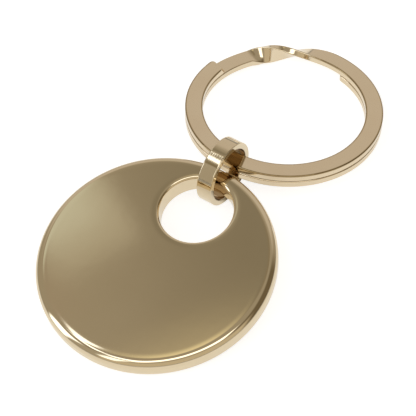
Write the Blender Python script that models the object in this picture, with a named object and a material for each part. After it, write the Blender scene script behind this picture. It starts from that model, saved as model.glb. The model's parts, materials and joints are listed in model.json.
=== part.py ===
"""Metal keyring: a round fob, a band link through its off-centre hole, and a split ring.

The three pieces lie on a table as they settle when put down. The link stands upright
on the table and holds up the near edges of the fob and of the split ring, so both lie
at a slant. +X runs from the fob to the split ring, +Z is up, and the origin is at the
bottom centre of the whole keyring. Lengths are in metres.
"""
import math

import bmesh
import bpy
from mathutils import Vector

MM = 0.001

# Fob: a round plate with one round hole near its rim
FOB_RADIUS = 17.5 * MM
FOB_THICKNESS = 3.4 * MM
FOB_EDGE_RADIUS = 1.3 * MM
FOB_HOLE_RADIUS = 5.45 * MM
FOB_HOLE_EDGE_RADIUS = 0.5 * MM
FOB_RIM_WIDTH = 2.5 * MM
FOB_HOLE_TURN = math.radians(-3.7)

# Link: a short round band, standing on edge
LINK_WALL = 0.96 * MM
LINK_WIDTH = 2.5 * MM
LINK_EDGE_RADIUS = 0.16 * MM
LINK_SIDE_SHIFT = 0.5 * MM

# Split ring: one flat wire in two layers
RING_RADIUS = 15.1 * MM
WIRE_WIDTH = 2.65 * MM
WIRE_HEIGHT = 1.07 * MM
WIRE_EDGE_RADIUS = 0.1 * MM
LAYER_GAP = 0.1 * MM
WIRE_END_CORNER = 0.7 * MM

# Angles round the split ring, from +X, anticlockwise seen from above
UPPER_END = math.radians(80)
LOWER_END = math.radians(-10.5)
END_SKEW = math.radians(1)
END_BEVEL = math.radians(35)
END_SKEW_REACH = math.radians(12)
RAMP_START, RAMP_END = math.radians(-4), math.radians(68)
TWIST_START, TWIST_END = math.radians(-2), math.radians(56)
TWIST_EASE_SHARE = 0.6

# Room left between the pieces
LINK_CLEARANCE = 0.37 * MM
FOB_RING_GAP = 1.18 * MM

# The most that a rounded edge takes of a wall, and that each takes of the fob's narrow rim
EDGE_SHARE = 0.45
RIM_EDGE_SHARE = 0.6
HOLE_EDGE_SHARE = 0.3

# How finely curves are divided
FOB_SEGMENTS = 80
LINK_SEGMENTS = 64
EDGE_STEPS = 4
HALVINGS = 50
PLAIN_STEP = math.radians(5)
TWIST_STEP = math.radians(2)
CORNER_STEPS = 4

# Faces that meet at less than this are shaded as one
SMOOTH_ANGLE = math.radians(35)

FULL_TURN = 2 * math.pi
QUARTER_TURN = math.pi / 2


def remove_old_objects():
    for old in list(bpy.data.objects):
        bpy.data.objects.remove(old, do_unlink=True)


# Sizes that follow from the ones above
fob_edge = min(FOB_EDGE_RADIUS, EDGE_SHARE * FOB_THICKNESS, RIM_EDGE_SHARE * FOB_RIM_WIDTH)
hole_edge = min(FOB_HOLE_EDGE_RADIUS, EDGE_SHARE * FOB_THICKNESS, HOLE_EDGE_SHARE * FOB_RIM_WIDTH)
link_edge = min(LINK_EDGE_RADIUS, EDGE_SHARE * LINK_WALL, EDGE_SHARE * LINK_WIDTH)
wire_edge = min(WIRE_EDGE_RADIUS, EDGE_SHARE * WIRE_HEIGHT, EDGE_SHARE * WIRE_WIDTH)
wire_corner = min(WIRE_END_CORNER, EDGE_SHARE * WIRE_WIDTH)
hole_offset = FOB_RADIUS - FOB_RIM_WIDTH - FOB_HOLE_RADIUS
hole_x = hole_offset * math.cos(FOB_HOLE_TURN)
hole_y = hole_offset * math.sin(FOB_HOLE_TURN)
wire_radius = RING_RADIUS - WIRE_WIDTH / 2
ring_inner_radius = RING_RADIUS - WIRE_WIDTH
ring_height = 2 * WIRE_HEIGHT + LAYER_GAP


def chord(radius, offset):
    """Half the length of a circle's chord at an offset from its centre."""
    return math.sqrt(max(radius ** 2 - offset ** 2, 0))


def slant(reach, centre_height, edge, height):
    """Slant of a plate that lies on its far edge, with a point of it at a height."""
    lever = math.hypot(reach - edge, centre_height - edge)
    return math.asin((height - edge) / lever) - math.atan2(centre_height - edge, reach - edge)


def height_on_plate(reach, above, edge, angle):
    """Height over the table of a point of a slanted plate, reach in from its far edge."""
    return (reach - edge) * math.sin(angle) + (above - edge) * math.cos(angle) + edge


class Layout:
    """Where the pieces lie for a given inner radius of the link, with the link at x = 0."""

    def __init__(self, inner_radius):
        self.inner_radius = inner_radius
        self.link_height = inner_radius + LINK_WALL
        self.lay_fob()
        self.lay_ring()
        self.gap = self.ring_left() - self.fob_right()

    def lay_fob(self):
        """The fob's hole edge comes as near the inside of the link as the clearance."""
        side = LINK_SIDE_SHIFT - hole_y
        wall = hole_x + chord(FOB_HOLE_RADIUS, side)
        rim = chord(FOB_RADIUS, LINK_SIDE_SHIFT)
        self.fob_pivot = (wall + rim) / 2
        self.fob_slant = slant(FOB_RADIUS + self.fob_pivot, FOB_THICKNESS / 2, fob_edge, self.link_height)
        far_side = abs(side) + LINK_WIDTH / 2
        corner = hole_x + chord(FOB_HOLE_RADIUS, far_side) + hole_edge
        room = self.inner_radius - LINK_CLEARANCE - hole_edge
        places = []
        for above in (hole_edge, FOB_THICKNESS - hole_edge):
            height = height_on_plate(FOB_RADIUS + corner, above, fob_edge, self.fob_slant)
            across = corner * math.cos(self.fob_slant) - above * math.sin(self.fob_slant)
            places.append(-chord(room, height - self.link_height) - across)
        self.fob_x = max(places)

    def lay_ring(self):
        """The split ring's inner side comes as near the inside of the link."""
        self.ring_pivot = wire_radius
        self.ring_slant = slant(RING_RADIUS + wire_radius, ring_height / 2, wire_edge, self.link_height)
        far_side = abs(LINK_SIDE_SHIFT) + LINK_WIDTH / 2
        corner = chord(ring_inner_radius + wire_edge, far_side)
        room = self.inner_radius - LINK_CLEARANCE - wire_edge
        places = []
        for above in (wire_edge, ring_height - wire_edge):
            height = height_on_plate(RING_RADIUS + corner, above, wire_edge, self.ring_slant)
            across = corner * math.cos(self.ring_slant) - above * math.sin(self.ring_slant)
            places.append(chord(room, height - self.link_height) + across)
        self.ring_x = min(places)

    def fob_right(self):
        """Where the fob's rim ends at half its thickness."""
        down = FOB_THICKNESS / 2 * math.sin(self.fob_slant)
        return self.fob_x + FOB_RADIUS * math.cos(self.fob_slant) - down

    def ring_left(self):
        """Where the split ring begins at half its height."""
        down = ring_height / 2 * math.sin(self.ring_slant)
        return self.ring_x - RING_RADIUS * math.cos(self.ring_slant) + down


def settle():
    """The link's inner radius is the one that leaves the gap between fob and ring."""
    low = LINK_CLEARANCE + max(hole_edge, wire_edge)
    high = min(FOB_RADIUS, RING_RADIUS)
    for _ in range(HALVINGS):
        middle = (low + high) / 2
        if Layout(middle).gap < FOB_RING_GAP:
            low = middle
        else:
            high = middle
    return Layout(high)


layout = settle()
link_radius = layout.inner_radius + LINK_WALL


def point_on_slant(x, above, centre_x, angle, toward, edge, radius):
    """World place of a point of a slanted plate; toward is 1 or -1, its raised side."""
    across = x * math.cos(angle) - toward * above * math.sin(angle)
    height = height_on_plate(radius + toward * x, above, edge, angle)
    return Vector((centre_x + across, 0, height))


def fob_point(x, above):
    return point_on_slant(x, above, layout.fob_x, layout.fob_slant, 1, fob_edge, FOB_RADIUS)


def ring_point(x, above):
    return point_on_slant(x, above, layout.ring_x, layout.ring_slant, -1, wire_edge, RING_RADIUS)


def bounds_shift():
    """Moves the middle of the keyring's length over the origin."""
    left = fob_point(fob_edge - FOB_RADIUS, FOB_THICKNESS - fob_edge).x - fob_edge
    right = ring_point(RING_RADIUS - wire_edge, ring_height - wire_edge).x + wire_edge
    return Vector((-(left + right) / 2, 0, 0))


shift = bounds_shift()
side = Vector((0, LINK_SIDE_SHIFT, 0))
fob_place = fob_point(0, 0) + shift
fob_hinge = fob_point(layout.fob_pivot, FOB_THICKNESS / 2) + shift + side
ring_hinge = ring_point(-layout.ring_pivot, ring_height / 2) + shift + side
link_place = Vector((0, 0, layout.link_height)) + shift + side


# Materials
def metal(name, colour, roughness):
    material = bpy.data.materials.new(name)
    material.use_nodes = True
    surface = material.node_tree.nodes["Principled BSDF"]
    surface.inputs["Base Color"].default_value = colour
    surface.inputs["Metallic"].default_value = 1
    surface.inputs["Roughness"].default_value = roughness
    return material


fob_metal = metal("polished_fob_metal", (0.56, 0.47, 0.34, 1), 0.2)
link_metal = metal("polished_link_metal", (0.62, 0.52, 0.37, 1), 0.15)
ring_metal = metal("polished_wire_metal", (0.60, 0.50, 0.36, 1), 0.18)


# Mesh helpers
def add_verts(bm, points):
    return [bm.verts.new(point) for point in points]


def round_loop(bm, centre, radius, height):
    """Adds the points of a level circle."""
    angles = [FULL_TURN * step / FOB_SEGMENTS for step in range(FOB_SEGMENTS)]
    reach = [Vector((radius * math.cos(a), radius * math.sin(a), height)) for a in angles]
    return add_verts(bm, [centre + point for point in reach])


def skin(bm, loops):
    """Covers the way from each loop of points to the next with quads."""
    for first, second in zip(loops, loops[1:]):
        for i in range(len(first)):
            bm.faces.new((first[i - 1], first[i], second[i], second[i - 1]))


def chamfered(half_width, half_height, edge):
    """Corner points of a rectangle with chamfered corners, in order round it."""
    corner = [(half_width, half_height - edge), (half_width - edge, half_height)]
    upper = corner + [(-x, y) for x, y in reversed(corner)]
    return upper + [(-x, -y) for x, y in upper]


def quarter(steps):
    """Sine and cosine pairs over a quarter turn."""
    angles = [QUARTER_TURN * step / steps for step in range(steps + 1)]
    return [(math.sin(a), math.cos(a)) for a in angles]


def finish(bm, name, material, place, slant_angle):
    bmesh.ops.recalc_face_normals(bm, faces=bm.faces)
    mesh = bpy.data.meshes.new(name)
    bm.to_mesh(mesh)
    bm.free()
    mesh.materials.append(material)
    mesh.shade_smooth()
    mesh.set_sharp_from_angle(angle=SMOOTH_ANGLE)
    piece = bpy.data.objects.new(name, mesh)
    bpy.context.collection.objects.link(piece)
    piece.location = place
    piece.rotation_euler.y = slant_angle
    return piece


# Fob
def rounded_wall(radius, edge, outward):
    """Radius and height down a wall with rounded ends, from the top face to the bottom."""
    top = [(radius - outward * edge * (1 - s), FOB_THICKNESS - edge * (1 - c))
           for s, c in quarter(EDGE_STEPS)]
    bottom = [(r, FOB_THICKNESS - height) for r, height in reversed(top)]
    return top + bottom


def make_fob():
    bm = bmesh.new()
    centre, hole = Vector((0, 0, 0)), Vector((hole_x, hole_y, 0))
    outer_wall = rounded_wall(FOB_RADIUS, fob_edge, 1)
    hole_wall = rounded_wall(FOB_HOLE_RADIUS, hole_edge, -1)
    outside = [round_loop(bm, centre, r, height) for r, height in outer_wall]
    inside = [round_loop(bm, hole, r, height) for r, height in hole_wall]
    skin(bm, outside + inside[::-1] + outside[:1])
    return finish(bm, "disc_fob", fob_metal, fob_place, -layout.fob_slant)


# Link
def make_link():
    bm = bmesh.new()
    centre = link_place - fob_hinge
    wall_centre = centre + Vector((link_radius - LINK_WALL / 2, 0, 0))
    section = chamfered(LINK_WALL / 2, LINK_WIDTH / 2, link_edge)
    verts = add_verts(bm, [wall_centre + Vector((x, y, 0)) for x, y in section])
    edges = [bm.edges.new((verts[i - 1], verts[i])) for i in range(len(verts))]
    bmesh.ops.spin(bm, geom=verts + edges, cent=centre, axis=(0, 1, 0), angle=FULL_TURN,
                   steps=LINK_SEGMENTS, use_merge=True)
    return finish(bm, "connecting_link", link_metal, fob_hinge, 0)


# Split ring
def ease(share):
    """Smooth step from 0 to 1."""
    share = min(max(share, 0), 1)
    return share * share * (3 - 2 * share)


def past_end(angle):
    """The angle less one full turn once the wire has crossed from layer to layer."""
    return angle - FULL_TURN


def wire_height(angle):
    """Height of the wire's centre: upper layer, ramp, then lower layer."""
    low, high = WIRE_HEIGHT / 2, ring_height - WIRE_HEIGHT / 2
    share = (RAMP_END - past_end(angle)) / (RAMP_END - RAMP_START)
    return low + (high - low) * ease(share)


def wire_twist(angle):
    """The wire turns half over between the layers."""
    share = (TWIST_END - past_end(angle)) / (TWIST_END - TWIST_START)
    share = min(max(share, 0), 1)
    return math.pi * ease(share ** TWIST_EASE_SHARE)


def end_trim(distance):
    """How much a rounded end corner takes off each side, at a distance from the end."""
    if distance >= wire_corner:
        return 0
    return wire_corner - chord(wire_corner, wire_corner - distance)


def wire_angles():
    """Stations along the wire: close together in its corners and its twist."""
    start, end = UPPER_END, LOWER_END + 2 * FULL_TURN
    corner = [(1 - c) * wire_corner / wire_radius for _, c in quarter(CORNER_STEPS)]
    ramp_from, ramp_to = FULL_TURN + RAMP_START, FULL_TURN + RAMP_END
    angles = [start + step for step in corner]
    for first, last, step in ((angles[-1], ramp_from, PLAIN_STEP), (ramp_from, ramp_to, TWIST_STEP),
                              (ramp_to, end - corner[-1], PLAIN_STEP)):
        count = math.ceil((last - first) / step)
        angles += [first + (last - first) * i / count for i in range(1, count + 1)]
    return angles + [end - step for step in reversed(corner[:-1])]


def wire_loop(angle, first, last):
    """Points round the wire at one station, from the split ring's bottom centre."""
    from_end = min(angle - first, last - angle)
    half = WIRE_WIDTH / 2 - end_trim(from_end * wire_radius)
    twist, height = wire_twist(angle), wire_height(angle)
    fade = max(0, 1 - (angle - first) / END_SKEW_REACH)
    points = []
    for x, z in chamfered(half, WIRE_HEIGHT / 2, wire_edge):
        out = x * math.cos(twist) - z * math.sin(twist)
        up = x * math.sin(twist) + z * math.cos(twist)
        lean = angle + fade * (math.tan(END_BEVEL) * up / wire_radius - END_SKEW * out / (WIRE_WIDTH / 2))
        radius = wire_radius + out
        points.append(Vector((radius * math.cos(lean), radius * math.sin(lean), height + up)))
    return points


def make_ring():
    bm = bmesh.new()
    angles = wire_angles()
    hinge = Vector((-layout.ring_pivot, LINK_SIDE_SHIFT, ring_height / 2))
    stations = [wire_loop(angle, angles[0], angles[-1]) for angle in angles]
    loops = [add_verts(bm, [point - hinge for point in station]) for station in stations]
    skin(bm, loops)
    bm.faces.new(loops[0])
    bm.faces.new(loops[-1])
    return finish(bm, "split_ring", ring_metal, ring_hinge, layout.ring_slant)


def main():
    remove_old_objects()
    keyring = bpy.data.objects.new("keyring", None)
    bpy.context.collection.objects.link(keyring)
    for piece in (make_fob(), make_link(), make_ring()):
        piece.parent = keyring
    print(f"link inner radius {layout.inner_radius / MM:.3f} mm, centre {tuple(link_place)}")
    print(f"fob slant {math.degrees(layout.fob_slant):.3f}, ring slant {math.degrees(layout.ring_slant):.3f}")
    print(f"fob hinge {tuple(fob_hinge)}, ring hinge {tuple(ring_hinge)}, fob place {tuple(fob_place)}")


main()
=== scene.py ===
"""A pale gold keyring on a white table: a thick round fob, a band link and a split ring.

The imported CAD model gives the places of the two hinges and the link's size. The three pieces
are modelled again here with finely rounded edges, in the same place and size, and dressed as
polished plated metal. The studio is a white table in a soft dim room with a few soft lights,
because polished metal shows mostly what is round it. Lengths are in metres.
"""

import json
import logging
import math
from dataclasses import dataclass, field
from enum import Enum

import bmesh
import bpy
from mathutils import Matrix, Vector


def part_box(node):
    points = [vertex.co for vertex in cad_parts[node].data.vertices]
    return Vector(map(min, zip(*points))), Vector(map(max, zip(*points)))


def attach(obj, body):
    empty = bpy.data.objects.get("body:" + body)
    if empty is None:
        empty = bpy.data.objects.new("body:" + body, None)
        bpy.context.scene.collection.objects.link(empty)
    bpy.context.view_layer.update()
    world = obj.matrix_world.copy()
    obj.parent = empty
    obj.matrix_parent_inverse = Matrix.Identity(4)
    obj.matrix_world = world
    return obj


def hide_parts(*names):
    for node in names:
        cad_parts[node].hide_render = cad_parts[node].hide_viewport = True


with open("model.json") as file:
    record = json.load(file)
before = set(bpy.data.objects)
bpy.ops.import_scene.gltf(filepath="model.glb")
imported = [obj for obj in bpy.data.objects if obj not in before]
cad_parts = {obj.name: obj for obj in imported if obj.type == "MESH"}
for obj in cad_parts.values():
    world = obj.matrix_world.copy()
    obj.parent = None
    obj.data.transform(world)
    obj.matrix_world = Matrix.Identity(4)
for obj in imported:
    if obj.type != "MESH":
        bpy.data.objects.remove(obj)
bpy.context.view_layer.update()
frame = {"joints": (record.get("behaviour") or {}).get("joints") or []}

log = logging.getLogger("keyring")

MM = 0.001
FULL_TURN = 2 * math.pi
QUARTER_TURN = math.pi / 2
SHARP_ANGLE = math.radians(50)
MERGE_DISTANCE = 0.001 * MM
LINK_SIDE = 0.5 * MM
WHITE = (1, 1, 1, 1)

# Sockets of a Mix node for colours
MIX_SHARE, MIX_FIRST, MIX_SECOND, MIX_RESULT = 0, 6, 7, 2

Colour = tuple[float, float, float, float]
Triple = tuple[float, float, float]
Pair = tuple[float, float]


class Body(Enum):
    """The moving bodies of the CAD model."""

    FOB = "fob"
    LINK = "link"
    RING = "ring"


# Shader tools
class Value:
    """A number that varies over a surface. Sums on it add Math nodes to its tree."""

    def __init__(self, tree: "Tree", socket: bpy.types.NodeSocket) -> None:
        """Wraps an output socket of a tree."""
        self.tree = tree
        self.socket = socket

    def _math(self, operation: str, first: object, second: object) -> "Value":
        """Adds one Math node on two operands."""
        return self.tree.number(operation, first, second)

    def __add__(self, other: object) -> "Value":
        """Adds a Math node for self + other."""
        return self._math("ADD", self, other)

    __radd__ = __add__

    def __sub__(self, other: object) -> "Value":
        """Adds a Math node for self - other."""
        return self._math("SUBTRACT", self, other)

    def __rsub__(self, other: object) -> "Value":
        """Adds a Math node for other - self."""
        return self._math("SUBTRACT", other, self)

    def __mul__(self, other: object) -> "Value":
        """Adds a Math node for self * other."""
        return self._math("MULTIPLY", self, other)

    __rmul__ = __mul__


class Tree:
    """A node tree that is written as Python expressions."""

    def __init__(self, tree: bpy.types.NodeTree) -> None:
        """Empties the tree.

        Args:
            tree: The node tree of a material or a world.
        """
        self.tree = tree
        tree.nodes.clear()

    def add(self, kind: str, settings: dict | None = None, inputs: dict | None = None,
            output: str | int = 0) -> Value | None:
        """Adds a node.

        Args:
            kind: The node's type.
            settings: Its properties, which are set first.
            inputs: Values or links, by the socket's name or number.
            output: The socket that is wanted.

        Returns:
            The output, ready for sums and for other nodes' inputs, or None without outputs.
        """
        node = self.tree.nodes.new(kind)
        for name, setting in (settings or {}).items():
            setattr(node, name, setting)
        for name, value in (inputs or {}).items():
            if isinstance(value, Value):
                self.tree.links.new(value.socket, node.inputs[name])
            else:
                node.inputs[name].default_value = value
        return Value(self, node.outputs[output]) if node.outputs else None

    def number(self, operation: str, first: object, second: object = 0.0) -> Value:
        """Adds a Math node.

        Args:
            operation: What it does.
            first: Its first number.
            second: Its second number.

        Returns:
            The result.
        """
        return self.add("ShaderNodeMath", {"operation": operation}, {0: first, 1: second})

    def vector(self, operation: str, first: object, second: object = (0, 0, 0),
               output: str | int = 0) -> Value:
        """Adds a Vector Math node.

        Args:
            operation: What it does.
            first: Its first vector.
            second: Its second vector.
            output: The socket that is wanted.

        Returns:
            The result.
        """
        inputs = {0: first, 1: second}
        return self.add("ShaderNodeVectorMath", {"operation": operation}, inputs, output)

    def length(self, vector: Value) -> Value:
        """Adds a Vector Math node for a vector's length."""
        return self.vector("LENGTH", vector, output="Value")

    def mix_colour(self, share: object, first: object, second: object) -> Value:
        """Adds a Mix node for colours.

        Args:
            share: How much of the second colour.
            first: The first colour.
            second: The second colour.

        Returns:
            The mixed colour.
        """
        settings = {"data_type": "RGBA", "blend_type": "MIX"}
        inputs = {MIX_SHARE: share, MIX_FIRST: first, MIX_SECOND: second}
        return self.add("ShaderNodeMix", settings, inputs, MIX_RESULT)

    def smooth(self, value: Value, low: float, high: float, out_low: float = 0.0,
               out_high: float = 1.0) -> Value:
        """Eases a value from one range to another.

        Args:
            value: The value.
            low: Where it starts.
            high: Where it ends.
            out_low: What it is at the start.
            out_high: What it is at the end.

        Returns:
            The eased value.
        """
        inputs = dict(enumerate((value, low, high, out_low, out_high)))
        return self.add("ShaderNodeMapRange", {"interpolation_type": "SMOOTHSTEP"}, inputs)

    def noise(self, where: Value, scale: float, detail: float, roughness: float = 0.5) -> Value:
        """Adds a Noise Texture node.

        Args:
            where: The place on the surface.
            scale: How many spots there are to a metre.
            detail: How many finer layers it has.
            roughness: How much the finer layers count.

        Returns:
            The noise, from 0 to 1.
        """
        inputs = {"Vector": where, "Scale": scale, "Detail": detail, "Roughness": roughness}
        return self.add("ShaderNodeTexNoise", {}, inputs)


# Geometry tools
def chord(radius: float, offset: float) -> float:
    """Returns half the length of a circle's chord at an offset from its centre."""
    return math.sqrt(max(radius ** 2 - offset ** 2, 0))


def ease(share: float) -> float:
    """Returns a smooth step from 0 to 1."""
    share = min(max(share, 0), 1)
    return share * share * (3 - 2 * share)


def slant(reach: float, centre_height: float, edge: float, height: float) -> float:
    """Works out the slant of a plate that lies on its far edge.

    Args:
        reach: How far in from that edge the plate is held up.
        centre_height: Half the plate's thickness.
        edge: The radius of its rounded edge.
        height: The height at which the middle of the plate is held.

    Returns:
        The angle to the table, in radians.
    """
    lever = math.hypot(reach - edge, centre_height - edge)
    return math.asin((height - edge) / lever) - math.atan2(centre_height - edge, reach - edge)


def facing(turn: float, height: float) -> tuple[Vector, Vector, Vector]:
    """Works out a direction and the two at right angles to it.

    Args:
        turn: The direction's turn from +Y towards +X.
        height: Its angle above the table.

    Returns:
        Ahead, to the right, and up.
    """
    level, rise = math.cos(height), math.sin(height)
    ahead = Vector((math.sin(turn) * level, math.cos(turn) * level, rise))
    right = Vector((math.cos(turn), -math.sin(turn), 0))
    return ahead, right, right.cross(ahead)


def hinge_place(name: str) -> Vector:
    """Returns the place of a named hinge of the CAD model."""
    return Vector(next(joint["pos_m"] for joint in frame["joints"] if joint["name"] == name))


def rounded_section(half_width: float, half_height: float, edge: float,
                    steps: int) -> list[Pair]:
    """Outlines a rectangle with rounded corners.

    Args:
        half_width: Half its width.
        half_height: Half its height.
        edge: The corners' radius.
        steps: Into how many pieces a corner is divided.

    Returns:
        Points in order round it, with one more on each side just past each corner, which
        keeps the long sides flat in smooth shading.
    """
    past = edge / 2
    corner = [(half_width, half_height - edge - past)]
    for step in range(steps + 1):
        angle = QUARTER_TURN * step / steps
        corner.append((half_width - edge * (1 - math.cos(angle)),
                       half_height - edge * (1 - math.sin(angle))))
    corner.append((half_width - edge - past, half_height))
    upper = corner + [(-x, y) for x, y in reversed(corner)]
    return upper + [(-x, -y) for x, y in upper]


def make_piece(bm: bmesh.types.BMesh, name: str, place: Matrix) -> bpy.types.Object:
    """Turns a finished bmesh into an object, with its place in its mesh.

    Args:
        bm: The bmesh, which is freed.
        name: The piece's name.
        place: Where the mesh goes.

    Returns:
        The object.
    """
    bmesh.ops.transform(bm, matrix=place, verts=bm.verts)
    bmesh.ops.recalc_face_normals(bm, faces=bm.faces)
    mesh = bpy.data.meshes.new(name)
    bm.to_mesh(mesh)
    bm.free()
    mesh.shade_smooth()
    mesh.set_sharp_from_angle(angle=SHARP_ANGLE)
    piece = bpy.data.objects.new(name, mesh)
    bpy.context.scene.collection.objects.link(piece)
    return piece


# Finishes
@dataclass(frozen=True, kw_only=True)
class PolishedPlate:
    """Metal polished to a mirror and plated in pale gold.

    Attributes:
        name: The material's name.
        colour: What the metal reflects of white light.
        deep_colour: The colour where the plating is a little darker.
        roughness: How soft its reflections are.
        cloud_size: The size of the faint clouds in its polish.
        wave_height: How far the polish strays from flat.
        cloud_range: Over which values of the clouds the colour deepens.
        cloud_polish: The least share of the roughness, and what the clouds add to it.
        scuff_count: How many scuffs there are to a cloud.
        scuff_height: Their height, as a share of the wave height.
    """

    name: str
    colour: Colour
    deep_colour: Colour
    roughness: float
    cloud_size: float
    wave_height: float
    cloud_range: Pair = (0.3, 0.7)
    cloud_polish: Pair = (0.85, 0.3)
    scuff_count: float = 8
    scuff_height: float = 0.1

    def _details(self, tree: Tree, local: Value, colour: Value, roughness: Value,
                 relief: Value) -> tuple[Value, Value, Value]:
        """Adds what a kind of piece has of its own.

        Args:
            tree: The material's tree.
            local: Where a point lies in the piece's own frame.
            colour: The plating's colour.
            roughness: Its roughness.
            relief: Its height, as a share of the wave height.

        Returns:
            The colour, the roughness and the relief.
        """
        return colour, roughness, relief

    def make(self, place: Matrix) -> bpy.types.Material:
        """Builds the material.

        Args:
            place: The piece's place, which its pattern follows.

        Returns:
            The material.
        """
        material = bpy.data.materials.new(self.name)
        material.use_nodes = True
        tree = Tree(material.node_tree)
        where = tree.add("ShaderNodeTexCoord", output="Object")
        clouds = tree.noise(where, 1 / self.cloud_size, detail=3)
        scuffs = tree.noise(where, self.scuff_count / self.cloud_size, detail=4, roughness=0.6)
        depth = tree.smooth(clouds, *self.cloud_range)
        colour = tree.mix_colour(depth, self.colour, self.deep_colour)
        local = tree.add("ShaderNodeMapping", {"vector_type": "TEXTURE"}, {
            "Vector": where, "Location": place.translation, "Rotation": place.to_euler()})
        least, more = self.cloud_polish
        colour, roughness, relief = self._details(
            tree, local, colour, self.roughness * (least + more * clouds),
            clouds + self.scuff_height * scuffs)
        waves = tree.add("ShaderNodeBump", {}, {
            "Strength": 1.0, "Distance": self.wave_height, "Height": relief})
        surface = tree.add("ShaderNodeBsdfPrincipled", {}, {
            "Base Color": colour, "Metallic": 1.0, "Roughness": roughness, "Normal": waves})
        tree.add("ShaderNodeOutputMaterial", {}, {"Surface": surface})
        return material


@dataclass(frozen=True, kw_only=True)
class BrushedBand(PolishedPlate):
    """The same metal with faint hairlines round a band, and painted shade inside it.

    Attributes:
        inner_radius: Of the band, which turns about its own Y axis.
        hair_size: The hairlines' length, width and depth.
        hair_height: Their height, as a share of the wave height.
        hair_polish: The least share of the roughness, and what the hairlines add to it.
        painted_inside_shade: How dark the metal is inside the band.
        inside_soft: Over which the painted shade fades at its edges.
    """

    inner_radius: float
    hair_size: Triple = (2.5 * MM, 0.16 * MM, 2.5 * MM)
    hair_height: float = 3.0
    hair_polish: Pair = (0.6, 0.8)
    painted_inside_shade: Triple = (0.5, 0.4, 0.28)
    inside_soft: float = 0.06 * MM

    def _details(self, tree: Tree, local: Value, colour: Value, roughness: Value,
                 relief: Value) -> tuple[Value, Value, Value]:
        """Adds the hairlines and the shade inside the band.

        Args:
            tree: The material's tree.
            local: Where a point lies in the band's own frame.
            colour: The plating's colour.
            roughness: Its roughness.
            relief: Its height, as a share of the wave height.

        Returns:
            The colour, the roughness and the relief.
        """
        stretched = tree.vector("DIVIDE", local, self.hair_size)
        hairs = tree.noise(stretched, 1.0, detail=3)
        from_axis = tree.length(tree.vector("MULTIPLY", local, (1, 0, 1)))
        # Painted shade: the colour darkens inside the band, where little light reaches.
        inside = tree.smooth(from_axis - self.inner_radius, 0, self.inside_soft, 1, 0)
        dark = tree.vector("MULTIPLY", colour, self.painted_inside_shade)
        colour = tree.mix_colour(inside, colour, dark)
        least, more = self.hair_polish
        return colour, roughness * (least + more * hairs), relief + self.hair_height * hairs


@dataclass(frozen=True, kw_only=True)
class FlatWire(PolishedPlate):
    """The same metal with a painted dark reflection line along the upper edges of the wound wire.

    Attributes:
        middle: The radius at the middle of the wire, which winds round the Z axis.
        wire_width: Of the wire.
        height: Of its two layers.
        line_width: From where the line fades, and where it ends, round the edge.
        painted_line_shade: How dark the line is.
    """

    middle: float
    wire_width: float
    height: float
    line_width: Pair = (0.10 * MM, 0.30 * MM)
    painted_line_shade: Triple = (0.46, 0.40, 0.28)

    def _details(self, tree: Tree, local: Value, colour: Value, roughness: Value,
                 relief: Value) -> tuple[Value, Value, Value]:
        """Adds the painted dark reflection line.

        Args:
            tree: The material's tree.
            local: Where a point lies in the ring's own frame.
            colour: The plating's colour.
            roughness: Its roughness.
            relief: Its height, as a share of the wave height.

        Returns:
            The colour, the roughness and the relief.
        """
        from_axis = tree.length(tree.vector("MULTIPLY", local, (1, 1, 0)))
        across = tree.number("ABSOLUTE", from_axis - self.middle)
        level = tree.add("ShaderNodeSeparateXYZ", {}, {0: local}, "Z")
        down = tree.number("ABSOLUTE", self.height - level)
        # Painted reflection: a dark line along the upper edges, where the rounded edges reflect the
        # dim room.
        line = tree.smooth(self.wire_width / 2 - across + down, *self.line_width, 1, 0)
        dark = tree.vector("MULTIPLY", colour, self.painted_line_shade)
        return tree.mix_colour(line, colour, dark), roughness, relief


def fit(piece: bpy.types.Object, finish: PolishedPlate, place: Matrix, body: Body, node: str) -> None:
    """Gives a finished piece its material and its part in the CAD model.

    Args:
        piece: The piece.
        finish: Its finish.
        place: Its place, which the finish follows.
        body: The body that it moves with.
        node: The CAD node that it stands for.
    """
    piece.data.materials.append(finish.make(place))
    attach(piece, body.value)
    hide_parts(node)


# The pieces
@dataclass(frozen=True)
class RolledEdge:
    """The edge of a polished plate: its face rolls down a little before the edge itself.

    Attributes:
        radius: Of the rounded edge.
        roll_radius: Of the slight roll of the face towards it.
        roll_turn: How far that roll turns.
        steps: Into how many pieces the rounded edge is divided.
    """

    radius: float
    roll_radius: float
    roll_turn: float
    steps: int

    @property
    def width(self) -> float:
        """The rounded edge's width on the face."""
        return self.radius * (1 - math.sin(self.roll_turn))

    def distances(self) -> list[float]:
        """Divides the rounded edge evenly.

        Returns:
            Distances from the wall, from the wall inwards.
        """
        turns = (QUARTER_TURN + (self.roll_turn - QUARTER_TURN) * step / self.steps
                 for step in range(self.steps + 1))
        return [self.radius * (1 - math.sin(turn)) for turn in turns]

    def drop(self, distance: float) -> float:
        """Works out how far the face lies below its flat part.

        Args:
            distance: From the wall.

        Returns:
            The drop there.
        """
        roll_width = self.roll_radius * math.sin(self.roll_turn)
        across = max(self.width + roll_width - max(distance, self.width), 0)
        drop = self.roll_radius - chord(self.roll_radius, across)
        if distance < self.width:
            top = self.radius * math.cos(self.roll_turn)
            drop += top - chord(self.radius, self.radius - distance)
        return drop


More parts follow.
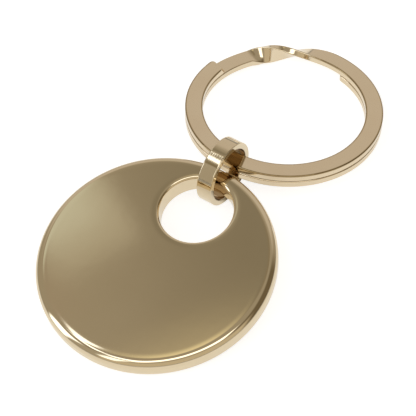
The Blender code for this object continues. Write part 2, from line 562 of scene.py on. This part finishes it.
@dataclass
class Fob:
    """The thick round plate with one round hole near its rim.

    Attributes:
        radius: Of the plate.
        thickness: Of the plate.
        hole_radius: Of its hole.
        rim_width: Of the narrowest metal between the hole and the rim.
        hole_turn: The angle of the hole from +X.
        link_side: How far to the side of the middle the link sits in the hole.
        rim_edge: The edge round the plate.
        hole_edge: The edge round the hole.
        segments: How finely its circles are divided.
        face_steps: Into how many rings each face is divided.
        hole: The hole's centre, from the plate's.
        place: Where the plate lies.
    """

    radius: float = 17.5 * MM
    thickness: float = 3.4 * MM
    hole_radius: float = 5.45 * MM
    rim_width: float = 2.5 * MM
    hole_turn: float = math.radians(-3.7)
    link_side: float = LINK_SIDE
    rim_edge: RolledEdge = RolledEdge(1.3 * MM, 20 * MM, math.radians(1.8), 16)
    hole_edge: RolledEdge = RolledEdge(0.5 * MM, 15 * MM, math.radians(3), 8)
    segments: int = 240
    face_steps: int = 56
    hole: Vector = field(init=False)
    place: Matrix = field(init=False)

    def __post_init__(self) -> None:
        """Works out where the hole and the plate lie."""
        offset = self.radius - self.rim_width - self.hole_radius
        self.hole = offset * Vector((math.cos(self.hole_turn), math.sin(self.hole_turn), 0))
        wall = self.hole.x + chord(self.hole_radius, self.link_side - self.hole.y)
        pivot = Vector(((wall + chord(self.radius, self.link_side)) / 2, self.link_side, 0))
        hinge = hinge_place("link_swing")
        lean = slant(self.radius + pivot.x, self.thickness / 2, self.rim_edge.radius, hinge.z)
        turn = Matrix.Rotation(-lean, 4, "Y")
        self.place = Matrix.Translation(hinge) @ turn @ Matrix.Translation(-pivot)

    def _circles(self) -> list[Matrix]:
        """Lists the circles from the middle of the rim's wall over the face to the hole's wall.

        Returns:
            What makes each of them from a circle of radius 1.
        """
        outer = [self.radius - distance for distance in self.rim_edge.distances()]
        inner = [self.hole_radius + distance for distance in self.hole_edge.distances()[::-1]]
        shares = [ease(step / self.face_steps) for step in range(1, self.face_steps)]
        rims = [(0, radius) for radius in outer[:1] + outer]
        face = [(share, outer[-1] + (inner[0] - outer[-1]) * share) for share in shares]
        walls = [(1, radius) for radius in inner + inner[-1:]]
        return [Matrix.Translation(self.hole * share) @ Matrix.Diagonal((radius, radius, 1, 1))
                for share, radius in rims + face + walls]

    def _height(self, point: Vector) -> float:
        """Works out the height of the upper face over the middle of the plate.

        Args:
            point: A point over or under it.

        Returns:
            The height there.
        """
        from_rim = self.radius - point.xy.length
        from_hole = (point - self.hole).xy.length - self.hole_radius
        return self.thickness / 2 - self.rim_edge.drop(from_rim) - self.hole_edge.drop(from_hole)

    def build(self) -> bpy.types.Object:
        """Models the upper half from its rim to its hole, and mirrors it.

        Returns:
            The finished piece.
        """
        bm = bmesh.new()
        circles = self._circles()
        verts = bmesh.ops.create_circle(bm, segments=self.segments, radius=1)["verts"]
        bmesh.ops.transform(bm, matrix=circles[0], verts=verts)
        edges = bm.edges[:]
        for before, circle in zip(circles, circles[1:]):
            drawn = bmesh.ops.extrude_edge_only(bm, edges=edges)["geom"]
            verts = [part for part in drawn if isinstance(part, bmesh.types.BMVert)]
            edges = [part for part in drawn
                     if isinstance(part, bmesh.types.BMEdge) and part.is_boundary]
            bmesh.ops.transform(bm, matrix=circle @ before.inverted(), verts=verts)
            for vert in verts:
                vert.co.z = self._height(vert.co)
        for vert in verts:
            vert.co.z = 0
        half = bm.verts[:] + bm.edges[:] + bm.faces[:]
        bmesh.ops.mirror(bm, geom=half, merge_dist=MERGE_DISTANCE, axis="Z")
        return make_piece(bm, "polished_fob", self.place)

    def dress(self, piece: bpy.types.Object) -> None:
        """Gives the plate its metal and its part in the CAD model.

        Args:
            piece: The finished piece.
        """
        finish = PolishedPlate(
            name="fob_pale_gold", colour=(0.78, 0.66, 0.46, 1), deep_colour=(0.76, 0.64, 0.44, 1),
            roughness=0.05, cloud_size=12 * MM, wave_height=0.006 * MM)
        fit(piece, finish, self.place, Body.FOB, "disc_fob")


@dataclass
class Link:
    """The short round band that joins the fob and the split ring.

    Attributes:
        wall: How thick the band is.
        width: Of the band.
        edge: The radius of its rounded edges.
        segments: How finely it is divided round.
        edge_steps: Into how many pieces a rounded edge is divided.
        centre: Where its centre lies.
        radius: Its outer radius.
    """

    wall: float = 0.96 * MM
    width: float = 2.5 * MM
    edge: float = 0.14 * MM
    segments: int = 180
    edge_steps: int = 4
    centre: Vector = field(init=False)
    radius: float = field(init=False)

    def __post_init__(self) -> None:
        """Takes the band's centre and outer radius from its CAD box."""
        low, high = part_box("connecting_link")
        self.centre = (low + high) / 2
        self.radius = (high.z - low.z) / 2

    def build(self) -> bpy.types.Object:
        """Models the band.

        Returns:
            The finished piece.
        """
        bm = bmesh.new()
        middle = self.radius - self.wall / 2
        section = rounded_section(self.wall / 2, self.width / 2, self.edge, self.edge_steps)
        verts = [bm.verts.new((middle + x, y, 0)) for x, y in section]
        edges = [bm.edges.new((verts[i - 1], verts[i])) for i in range(len(verts))]
        bmesh.ops.spin(bm, geom=verts + edges, cent=(0, 0, 0), axis=(0, 1, 0), angle=FULL_TURN,
                       steps=self.segments, use_merge=True)
        return make_piece(bm, "polished_link", Matrix.Translation(self.centre))

    def dress(self, piece: bpy.types.Object) -> None:
        """Gives the band its metal and its part in the CAD model.

        Args:
            piece: The finished piece.
        """
        finish = BrushedBand(
            name="link_pale_gold", colour=(0.78, 0.66, 0.46, 1), deep_colour=(0.76, 0.64, 0.44, 1),
            roughness=0.06, cloud_size=4 * MM, wave_height=0.001 * MM,
            inner_radius=self.radius - self.wall)
        place = Matrix.Translation(self.centre)
        fit(piece, finish, place, Body.LINK, "connecting_link")


@dataclass
class SplitRing:
    """The flat wire wound on edge in two layers, with a half twist between them.

    Angles are round the ring from +X, anticlockwise seen from above. The wire starts at its
    upper end and crosses to the lower layer near the end of its first turn.

    Attributes:
        radius: Of the ring, outside.
        wire_width: Of the wire, seen from above.
        wire_height: Of the wire, seen from the side.
        layer_gap: Between the two layers.
        edge: The radius of the wire's rounded edges.
        foot_edge: The radius of the lowest edge, on which the CAD model's ring lies.
        end_corner: The radius of the corners of the wire's ends.
        link_side: How far to the side of the middle the link holds the ring.
        upper_end: Where the upper layer ends.
        lower_end: Where the lower layer ends.
        end_skew: How far the upper end's outer corner reaches past its middle.
        end_bevel: The slant of the upper end's cut, from upright.
        end_skew_reach: Over which the skew and the slant fade.
        ramp_start: Where the wire leaves the upper layer's height.
        ramp_end: Where it reaches the lower layer's height.
        twist_start: Where the twist begins.
        twist_end: Where it ends.
        twist_ease: Below 1, more of the twist comes late.
        edge_steps: Into how many pieces a rounded edge is divided.
        corner_steps: Into how many pieces an end corner is divided.
        plain_step: How far the wire's sections are apart where it is plain.
        twist_step: How far they are apart in the ramp and the twist.
        middle: The radius at the middle of the wire.
        height: Of the two layers.
        place: Where the ring lies.
    """

    radius: float = 15.1 * MM
    wire_width: float = 2.65 * MM
    wire_height: float = 1.07 * MM
    layer_gap: float = 0.1 * MM
    edge: float = 0.16 * MM
    foot_edge: float = 0.1 * MM
    end_corner: float = 0.7 * MM
    link_side: float = LINK_SIDE
    upper_end: float = math.radians(80)
    lower_end: float = math.radians(-10.5)
    end_skew: float = math.radians(1)
    end_bevel: float = math.radians(35)
    end_skew_reach: float = math.radians(12)
    ramp_start: float = math.radians(-4)
    ramp_end: float = math.radians(68)
    twist_start: float = math.radians(-2)
    twist_end: float = math.radians(56)
    twist_ease: float = 0.6
    edge_steps: int = 6
    corner_steps: int = 8
    plain_step: float = math.radians(2)
    twist_step: float = math.radians(1)
    middle: float = field(init=False)
    height: float = field(init=False)
    place: Matrix = field(init=False)

    def __post_init__(self) -> None:
        """Works out how the ring lies."""
        self.middle = self.radius - self.wire_width / 2
        self.height = 2 * self.wire_height + self.layer_gap
        hinge = hinge_place("ring_swing")
        lean = slant(self.radius + self.middle, self.height / 2, self.foot_edge, hinge.z)
        turn = Matrix.Rotation(lean, 4, "Y")
        pivot = Vector((-self.middle, self.link_side, self.height / 2))
        self.place = Matrix.Translation(hinge) @ turn @ Matrix.Translation(-pivot)

    def _level(self, angle: float) -> float:
        """Works out the height of the wire's centre: upper layer, ramp, then lower layer.

        Args:
            angle: How far along the wire.

        Returns:
            The height over the ring's lowest side.
        """
        low, high = self.wire_height / 2, self.height - self.wire_height / 2
        share = (self.ramp_end - (angle - FULL_TURN)) / (self.ramp_end - self.ramp_start)
        return low + (high - low) * ease(share)

    def _twist(self, angle: float) -> float:
        """Returns how far the wire has turned over at an angle."""
        share = (self.twist_end - (angle - FULL_TURN)) / (self.twist_end - self.twist_start)
        return math.pi * ease(min(max(share, 0), 1) ** self.twist_ease)

    def _trim(self, distance: float) -> float:
        """Works out what a rounded end corner takes off each side of the wire.

        Args:
            distance: From the wire's end.

        Returns:
            How much narrower each side is.
        """
        if distance >= self.end_corner:
            return 0
        return self.end_corner - chord(self.end_corner, self.end_corner - distance)

    def _stations(self) -> list[float]:
        """Lists the angles along the wire, close together in its corners and its twist.

        Returns:
            The angles, from the upper end to the lower one.
        """
        start, end = self.upper_end, self.lower_end + 2 * FULL_TURN
        reach = self.end_corner / self.middle
        corner = [reach * (1 - math.cos(QUARTER_TURN * i / self.corner_steps))
                  for i in range(self.corner_steps + 1)]
        ramp_from, ramp_to = FULL_TURN + self.ramp_start, FULL_TURN + self.ramp_end
        angles = [start + step for step in corner]
        stretches = ((angles[-1], ramp_from, self.plain_step),
                     (ramp_from, ramp_to, self.twist_step),
                     (ramp_to, end - reach, self.plain_step))
        for first, last, step in stretches:
            count = math.ceil((last - first) / step)
            angles += [first + (last - first) * i / count for i in range(1, count + 1)]
        return angles + [end - step for step in reversed(corner[:-1])]

    def _station(self, angle: float, first: float, last: float) -> Matrix:
        """Works out where the wire's section goes.

        Args:
            angle: The station's angle.
            first: The angle of the wire's upper end.
            last: The angle of its lower end.

        Returns:
            The section's place, from a section drawn flat in the XZ plane.
        """
        half = self.wire_width / 2
        from_end = min(angle - first, last - angle) * self.middle
        narrow = Matrix.Scale(1 - self._trim(from_end) / half, 4, (1, 0, 0))
        fade = max(0, 1 - (angle - first) / self.end_skew_reach)
        lean = Matrix.Rotation(-fade * self.end_skew * self.middle / half, 4, "Z")
        bevel = Matrix.Identity(4)
        bevel[1][2] = fade * math.tan(self.end_bevel)
        twist = Matrix.Rotation(-self._twist(angle), 4, "Y")
        out = Matrix.Translation((self.middle, 0, self._level(angle)))
        return Matrix.Rotation(angle, 4, "Z") @ out @ lean @ bevel @ twist @ narrow

    def build(self) -> bpy.types.Object:
        """Models the wire by drawing its section along its path.

        Returns:
            The finished piece.
        """
        bm = bmesh.new()
        angles = self._stations()
        section = rounded_section(self.wire_width / 2, self.wire_height / 2, self.edge,
                                  self.edge_steps)
        face = bm.faces.new([bm.verts.new((x, 0, z)) for x, z in section])
        before = Matrix.Identity(4)
        for count, angle in enumerate(angles):
            if count:
                drawn = bmesh.ops.extrude_face_region(bm, geom=[face, *face.edges])["geom"]
                face = next(part for part in drawn if isinstance(part, bmesh.types.BMFace))
            place = self._station(angle, angles[0], angles[-1])
            bmesh.ops.transform(bm, matrix=place @ before.inverted(), verts=face.verts)
            before = place
        return make_piece(bm, "polished_split_ring", self.place)

    def dress(self, piece: bpy.types.Object) -> None:
        """Gives the ring its metal and its part in the CAD model.

        Args:
            piece: The finished piece.
        """
        finish = FlatWire(
            name="ring_pale_gold", colour=(0.79, 0.67, 0.48, 1), deep_colour=(0.77, 0.64, 0.45, 1),
            roughness=0.10, cloud_size=7 * MM, wave_height=0.001 * MM, middle=self.middle,
            wire_width=self.wire_width, height=self.height)
        fit(piece, finish, self.place, Body.RING, "split_ring")


# The studio
@dataclass(frozen=True)
class Panel:
    """A soft-edged panel of the studio, far away from the keyring. Angles are in degrees.

    Attributes:
        name: What it is.
        turn: Its direction, from the camera's direction of view towards the right.
        height: Its direction above the table.
        half_width: Half its width.
        half_height: Half its height.
        soft: Half the width of its soft border.
        colour: Its light.
    """

    name: str
    turn: float
    height: float
    half_width: float
    half_height: float
    soft: float
    colour: Colour

    def share(self, tree: Tree, toward: Value, view_turn: float) -> Value:
        """Works out how much of the panel is seen in a direction.

        Args:
            tree: The world's tree.
            toward: The direction.
            view_turn: The camera's direction of view, in radians.

        Returns:
            1 inside the panel, 0 outside it, and a soft border between them.
        """
        axis, right, up = facing(view_turn + math.radians(self.turn), math.radians(self.height))
        across, along, ahead = (tree.vector("DOT_PRODUCT", toward, tuple(side), "Value")
                                for side in (right, up, axis))
        sideways = tree.number("ABSOLUTE", tree.number("ARCTAN2", across, ahead))
        upwards = tree.number("ABSOLUTE", tree.number("ARCSINE", along))
        wide, tall = (
            tree.smooth(angle, math.radians(half - self.soft), math.radians(half + self.soft), 1, 0)
            for angle, half in ((sideways, self.half_width), (upwards, self.half_height)))
        return wide * tall


PANELS = (
    Panel("far_wall", 8, 14, 42, 32, 9, (0.64, 0.585, 0.53, 1)),
    Panel("right_wall", 98, 18, 27, 36, 8, (0.18, 0.145, 0.095, 1)),
    Panel("near_wall", 178, 14, 57, 30, 8, (0.64, 0.57, 0.45, 1)),
    Panel("left_wall", -114, 15, 12, 44, 4, (0.46, 0.42, 0.35, 1)),
    Panel("dim_corner", 8, 65, 9, 6, 4, (0.29, 0.245, 0.175, 1)),
    Panel("dim_ceiling", -9, 62.5, 4, 6, 4, (0.28, 0.25, 0.195, 1)),
    Panel("ceiling", -20.5, 69.5, 3.2, 3.6, 2.4, (0.92, 0.83, 0.58, 1)),
    Panel("near_light", 178, 67, 24, 9, 3, (2.2, 2.2, 2.2, 1)),
    Panel("near_window", -131, 38, 6, 14, 3, (1.8, 1.9, 2.0, 1)),
    Panel("side_window", -93, 18.5, 9, 25.5, 2.5, (2.1, 2.2, 2.4, 1)),
    Panel("window_top", -78, 64.5, 9, 3, 1.5, (2.1, 2.2, 2.4, 1)),
    Panel("window_corner", -114, 64, 8, 4.5, 1.5, (2.1, 2.2, 2.4, 1)),
    Panel("window_edge", -46, 64.8, 7.7, 1.1, 0.4, (2.1, 2.2, 2.4, 1)),
    Panel("window_frame", -101, 57, 2.5, 7, 1.5, (0.26, 0.22, 0.15, 1)),
    Panel("wide_glow", -24.2, 54, 2.9, 7.2, 0.4, (0.51, 0.48, 0.40, 1)),
    Panel("window_glow", -24.8, 53, 2.6, 7.0, 1.0, (0.67, 0.69, 0.62, 1)),
    Panel("dim_left", -34, 61.0, 4.6, 1.6, 0.8, (0.40, 0.35, 0.28, 1)),
)


@dataclass(frozen=True)
class PaintedPool:
    """A painted pool of light on the table round the fob or the split ring, which only the metal's
    reflections show; under the fob it is dimmer, as painted shade.

    Attributes:
        x: Of its centre.
        reach: Its radius.
        inside: The table's strength in it.
        outside: The table's strength just outside it.
        edge: The width over which the one becomes the other.
        fade: How far outside it the table starts to fade, and where that ends.
    """

    x: float
    reach: float
    inside: float
    outside: float
    edge: float = 2 * MM
    fade: Pair = (4 * MM, 60 * MM)

    def strength(self, tree: Tree, where: Value) -> Value:
        """Works out how strongly the table shows at a place.

        Args:
            tree: The table's tree.
            where: The place.

        Returns:
            The strength there.
        """
        beyond = tree.length(tree.vector("SUBTRACT", where, (self.x, 0, 0))) - self.reach
        near = tree.smooth(beyond, -self.edge, 0, self.inside, self.outside)
        return near * tree.smooth(beyond, *self.fade, 1, 0)


@dataclass(frozen=True)
class Studio:
    """The white table, the light round it and the camera.

    Attributes:
        view_turn: The camera's direction of view, from +Y towards +X.
        view_drop: How far the camera looks down.
        roll: How far the camera leans.
        distance: From the camera to the point on the table that it looks at.
        aim: That point.
        view_angle: Across the square picture.
        clip_range: The nearest and the furthest that the camera sees.
        floor_size: How wide the table is.
        floor_drop: How far it lies under the keyring.
        room: The light of the room between its panels.
        paper: The table's own colour.
        white_glow: How strongly the table shows to the camera, beside its own light.
        painted_pools: How strongly it shows in the metal.
        painted_shade_centre: The middle of the shade under the link.
        painted_shade_size: How far the shade reaches.
        painted_shade_fade: From which share of its reach the shade fades, and where it ends.
    """

    view_turn: float = math.radians(51.45)
    view_drop: float = math.radians(52.54)
    roll: float = math.radians(-5.18)
    distance: float = 252.5 * MM
    aim: Pair = (-1.556 * MM, 0.91 * MM)
    view_angle: float = math.radians(14)
    clip_range: Pair = (2.5 * MM, 6.0)
    floor_size: float = 3.0
    floor_drop: float = 0.05 * MM
    room: Colour = (0.40, 0.36, 0.29, 1)
    paper: Colour = (0.5, 0.5, 0.5, 1)
    white_glow: float = 0.78
    # Painted pools of light on the table, seen only in the metal; the one under the fob is dimmer
    # inside, as painted shade.
    painted_pools: tuple[PaintedPool, PaintedPool] = (PaintedPool(-15.4 * MM, 17.5 * MM, 0.42, 0.61),
                                PaintedPool(17.95 * MM, 15.1 * MM, 0.62, 0.62))
    # Painted shade under the link, taken out of the table's glow in the metal.
    painted_shade_centre: Triple = (4.0 * MM, -1.5 * MM, 0)
    painted_shade_size: Triple = (3.2 * MM, 5.2 * MM, MM)
    painted_shade_fade: Pair = (0.75, 1.2)

    def add_camera(self) -> None:
        """Adds the camera at the photograph's angle."""
        forward, right, up = facing(self.view_turn, -self.view_drop)
        right, up = (math.cos(self.roll) * right + math.sin(self.roll) * up,
                     math.cos(self.roll) * up - math.sin(self.roll) * right)
        turn = Matrix((right, up, -forward)).transposed().to_4x4()
        data = bpy.data.cameras.new("camera")
        data.sensor_fit = "HORIZONTAL"
        data.angle = self.view_angle
        data.clip_start, data.clip_end = self.clip_range
        camera = bpy.data.objects.new("camera", data)
        bpy.context.scene.collection.objects.link(camera)
        place = Vector((*self.aim, 0)) - forward * self.distance
        camera.matrix_world = Matrix.Translation(place) @ turn
        bpy.context.scene.camera = camera

    def _table_material(self) -> bpy.types.Material:
        """Builds the table's white paper, which glows evenly for the camera and, in the metal, shows
        painted pools of light with painted shade under the link.

        Returns:
            The material.
        """
        material = bpy.data.materials.new("white_table")
        material.use_nodes = True
        tree = Tree(material.node_tree)
        camera = tree.add("ShaderNodeLightPath", output="Is Camera Ray")
        glossy = tree.add("ShaderNodeLightPath", output="Is Glossy Ray")
        paper = tree.add("ShaderNodeBsdfDiffuse", {}, {"Color": self.paper})
        where = tree.add("ShaderNodeTexCoord", output="Object")
        painted_pools = [pool.strength(tree, where) for pool in self.painted_pools]
        # Painted shade: the table's glow in the metal fades out under the link, where the pieces
        # meet.
        from_painted_shade = tree.vector("SUBTRACT", where, self.painted_shade_centre)
        share = tree.length(tree.vector("DIVIDE", from_painted_shade, self.painted_shade_size))
        lit = tree.smooth(share, *self.painted_shade_fade)
        # Painted light: the table glows in the metal's reflections as pools round the pieces, dimmed
        # by painted shade under the link.
        strength = self.white_glow * camera + tree.number("MAXIMUM", *painted_pools) * lit * glossy
        glow = tree.add("ShaderNodeEmission", {}, {"Color": WHITE, "Strength": strength})
        both = tree.add("ShaderNodeAddShader", {}, {0: paper, 1: glow})
        tree.add("ShaderNodeOutputMaterial", {}, {"Surface": both})
        return material

    def add_floor(self) -> None:
        """Adds the white table, which keeps the keyring's soft shadow."""
        bm = bmesh.new()
        bmesh.ops.create_grid(bm, x_segments=1, y_segments=1, size=self.floor_size / 2)
        floor = make_piece(bm, "white_table", Matrix.Translation((0, 0, -self.floor_drop)))
        floor.data.materials.append(self._table_material())

    def add_light(self) -> None:
        """Adds the light that comes from all round."""
        world = bpy.data.worlds.new("studio")
        bpy.context.scene.world = world
        world.use_nodes = True
        tree = Tree(world.node_tree)
        toward = tree.add("ShaderNodeTexCoord", output="Generated")
        sky = self.room
        for panel in PANELS:
            sky = tree.mix_colour(panel.share(tree, toward, self.view_turn), sky, panel.colour)
        light = tree.add("ShaderNodeBackground", {}, {"Color": sky, "Strength": 1.0})
        tree.add("ShaderNodeOutputWorld", {}, {"Surface": light})


def main() -> None:
    """Builds the keyring and its studio."""
    logging.basicConfig(level=logging.INFO, format="%(name)s: %(message)s")
    bpy.context.scene.view_settings.view_transform = "Standard"
    for part in (Fob(), Link(), SplitRing()):
        piece = part.build()
        part.dress(piece)
        log.info("%s: %d faces", piece.name, len(piece.data.polygons))
    studio = Studio()
    studio.add_camera()
    studio.add_floor()
    studio.add_light()


if __name__ == "__main__":
    main()
